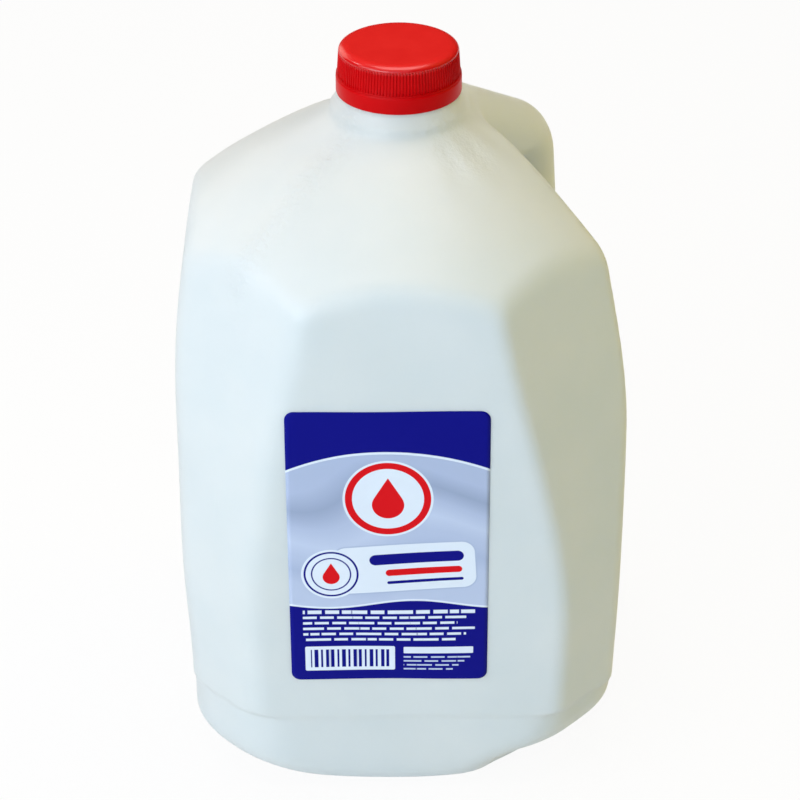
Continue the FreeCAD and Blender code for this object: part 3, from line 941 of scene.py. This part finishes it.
def make_cap():
    material = cap_red()
    points, faces = turned(cap_profile(), CAP_SEGMENTS)
    piece = mesh_from("ribbed_cap", points, [face[::-1] for face in faces])
    lean = CAP_TAPER - RIB_FOOT_INSET
    root = CAP_HIGH[0] - RIB_FOOT_INSET - lean / 2.0 - RIB_DEPTH
    middle = CAP_LOW[2] + SCORE_HEIGHT + 0.4 + RIB_BAND / 2.0
    run_tree(piece, rib_tree(material), {
        "Count": RIB_COUNT,
        "Ring Radius": (root - RIB_SUNK) * MM,
        "Ring Height": middle * MM,
        "Rib Radius": (RIB_DEPTH + RIB_SUNK) * MM,
        "Rib Length": RIB_BAND * MM,
        "Rib Lean": -math.atan(lean / RIB_BAND),
    })
    put(piece, "cap", material)


LABEL_CORNER, LABEL_CORNER_STEPS = 3.2, 8
LABEL_COLUMNS, LABEL_STRAIGHT_ROWS = 48, 58
LABEL_PROUD, LABEL_SUNK = 0.18, 0.15    # how far its faces lie outside and inside the jug's skin
LABEL_ROUNDS = 6            # rounds of moving the label onto the skin


def label_rows():
    """Heights of the label's rows, closer together at its rounded corners."""
    low, high = LABEL_LOW[2], LABEL_HIGH[2]
    near = []
    for step in range(LABEL_CORNER_STEPS + 1):
        angle = math.radians(90.0 * step / LABEL_CORNER_STEPS)
        near.append(LABEL_CORNER * (1.0 - math.cos(angle)))
    straight = np.linspace(low + LABEL_CORNER, high - LABEL_CORNER, LABEL_STRAIGHT_ROWS + 2)[1:-1]
    return [low + step for step in near] + list(straight) + [high - step for step in reversed(near)]


def label_outline(rows):
    """Points of the label seen from the front, row by row."""
    low, high = LABEL_LOW, LABEL_HIGH
    centre_x = (low[0] + high[0]) / 2.0
    half_x = (high[0] - low[0]) / 2.0
    points = []
    for z in rows:
        past = max(low[2] + LABEL_CORNER - z, z - high[2] + LABEL_CORNER, 0.0)
        reach = half_x - LABEL_CORNER + math.sqrt(max(LABEL_CORNER ** 2 - past ** 2, 0.0))
        for x in np.linspace(centre_x - reach, centre_x + reach, LABEL_COLUMNS):
            points.append((x, z))
    return np.array(points)


def slab_faces(row_count, columns):
    """Faces of a closed slab: its front points row by row, then its back points in the same order."""
    count = row_count * columns
    faces = []
    for row in range(row_count - 1):
        for column in range(columns - 1):
            start = row * columns + column
            quad = (start, start + 1, start + columns + 1, start + columns)
            faces.append(quad)
            faces.append(tuple(count + index for index in reversed(quad)))
    last = (row_count - 1) * columns
    rim = list(range(columns)) + [row * columns + columns - 1 for row in range(1, row_count)]
    rim += [last + column for column in range(columns - 2, -1, -1)]
    rim += [row * columns for row in range(row_count - 2, 0, -1)]
    for first, second in zip(rim, rim[1:] + rim[:1]):
        faces.append((second, first, count + first, count + second))
    return faces


def make_label():
    """Thin slab that follows the front face, with rounded corners."""
    rows = label_rows()
    x, z = label_outline(rows).T
    depth = np.full(len(x), -HALF_MID)
    for _ in range(LABEL_ROUNDS):
        depth += body_skin(x, depth, z)
    outside = np.stack([x, np.maximum(depth - LABEL_PROUD, LABEL_LOW[1]), z], axis=1)
    backing = np.stack([x, depth + LABEL_SUNK, z], axis=1)
    points = np.concatenate([outside, backing])
    piece = mesh_from("front_label", points, slab_faces(len(rows), LABEL_COLUMNS))
    put(piece, "label", printed_label())


# ---- room, light and camera ----------------------------------------------------------------
FLOOR_HALF = 4000.0
FLOOR_GREY = 0.80
FLOOR_WHITENESS = 0.93      # share of plain white that an eye or a mirror sees in the floor


def make_floor():
    material, tree, output = new_material("pale_floor")
    light_path = tree.nodes.new("ShaderNodeLightPath")
    seen = Num(tree, light_path.outputs["Is Camera Ray"])
    glossy = Num(tree, light_path.outputs["Is Glossy Ray"])
    through = Num(tree, light_path.outputs["Is Transmission Ray"])
    share = (seen + glossy + through).smaller(1.0) * FLOOR_WHITENESS
    plain = tree.nodes.new("ShaderNodeBsdfDiffuse")
    plain.inputs["Color"].default_value = (FLOOR_GREY, FLOOR_GREY, FLOOR_GREY, 1.0)
    white = tree.nodes.new("ShaderNodeEmission")
    white.inputs["Color"].default_value = (1.0, 1.0, 1.0, 1.0)
    white.inputs["Strength"].default_value = 1.0
    blend = tree.nodes.new("ShaderNodeMixShader")
    tree.links.new(share.socket, blend.inputs["Fac"])
    tree.links.new(plain.outputs[0], blend.inputs[1])
    tree.links.new(white.outputs[0], blend.inputs[2])
    tree.links.new(blend.outputs[0], output.inputs["Surface"])
    far = FLOOR_HALF
    corners = [(-far, -far, 0.0), (far, -far, 0.0), (far, far, 0.0), (-far, far, 0.0)]
    floor = mesh_from("floor", corners, [(0, 1, 2, 3)], smooth=False)
    floor.data.materials.append(material)


ROOM_COLOUR, ROOM_STRENGTH = (1.0, 0.85, 0.55, 1.0), 0.03


def make_world():
    world = bpy.data.worlds.new("studio")
    bpy.context.scene.world = world
    world.use_nodes = True
    tree = world.node_tree
    tree.nodes.clear()
    output = tree.nodes.new("ShaderNodeOutputWorld")
    light_path = tree.nodes.new("ShaderNodeLightPath")
    share = Num(tree, light_path.outputs["Is Camera Ray"])
    room = tree.nodes.new("ShaderNodeBackground")
    room.inputs["Color"].default_value = ROOM_COLOUR
    room.inputs["Strength"].default_value = ROOM_STRENGTH
    white = tree.nodes.new("ShaderNodeBackground")
    white.inputs["Strength"].default_value = 1.0
    blend = tree.nodes.new("ShaderNodeMixShader")
    tree.links.new(share.socket, blend.inputs["Fac"])
    tree.links.new(room.outputs[0], blend.inputs[1])
    tree.links.new(white.outputs[0], blend.inputs[2])
    tree.links.new(blend.outputs[0], output.inputs["Surface"])


LIGHT_TARGET = (0.0, 0.0, 0.13)
LIGHT_SIZE = 0.9


def softbox(name, place, power, rgb, target=LIGHT_TARGET, size=LIGHT_SIZE, mirrored=True):
    """Square lamp turned to its target; one that isn't mirrored makes no highlight."""
    lamp = bpy.data.lights.new(name, "AREA")
    lamp.shape = "RECTANGLE"
    lamp.size, lamp.size_y = size, size
    lamp.energy = power
    lamp.color = rgb
    holder = bpy.data.objects.new(name, lamp)
    holder.location = place
    holder.visible_glossy = mirrored
    holder.rotation_euler = (Vector(target) - Vector(place)).to_track_quat("-Z", "Y").to_euler()
    bpy.context.scene.collection.objects.link(holder)


def make_lights():
    softbox("window_high", (-1.1, -0.55, 1.0), 6.1, (0.98, 0.95, 1.0))
    softbox("window_front", (-0.9, -1.2, 0.6), 13.8, (0.85, 0.93, 1.0))
    softbox("front_fill", (0.0, -1.3, 1.1), 3.3, (0.60, 0.82, 1.0))
    softbox("low_front", (-0.45, -1.5, 0.3), 3.4, (0.30, 0.72, 1.0))
    softbox("overhead", (0.0, 0.1, 1.5), 10.3, (1.0, 0.94, 0.90))
    softbox("back_left", (-0.9, 1.1, 0.7), 4.5, (1.0, 0.92, 0.80))
    softbox("warm_right", (1.4, 0.1, 0.5), 4.6, (1.0, 0.82, 0.05), mirrored=False)
    shoulder_spot = (-0.04, -0.04, 0.22)
    softbox("window_glint", (-0.8, 0.28, 1.05), 1.2, (1.0, 1.0, 1.0), target=shoulder_spot, size=0.14)
    softbox("warm_high", (0.9, 0.2, 1.2), 3.8, (1.0, 0.72, 0.03), mirrored=False)


CAMERA_TARGET = Vector((-0.0001, 0.0, 0.1166))
CAMERA_DISTANCE = 0.960
CAMERA_PITCH = math.radians(31.12)
CAMERA_TURN = math.radians(-0.34)
CAMERA_ROLL = math.radians(-0.27)
CAMERA_LENS = 120.2


def make_camera():
    camera = bpy.data.objects.new("camera", bpy.data.cameras.new("camera"))
    camera.data.lens = CAMERA_LENS
    camera.data.clip_start = 0.05
    camera.data.clip_end = 20.0
    level = CAMERA_DISTANCE * math.cos(CAMERA_PITCH)
    offset = Vector((0.0, -level, CAMERA_DISTANCE * math.sin(CAMERA_PITCH)))
    offset.rotate(Euler((0.0, 0.0, CAMERA_TURN)))
    camera.location = CAMERA_TARGET + offset
    aim = (-offset).to_track_quat("-Z", "Y")
    camera.rotation_euler = (aim @ Euler((0.0, 0.0, CAMERA_ROLL)).to_quaternion()).to_euler()
    bpy.context.scene.collection.objects.link(camera)
    bpy.context.scene.camera = camera


def main():
    bpy.context.scene.view_settings.view_transform = "Standard"
    make_jug()
    make_milk()
    make_cap()
    make_label()
    make_floor()
    make_world()
    make_lights()
    make_camera()


main()
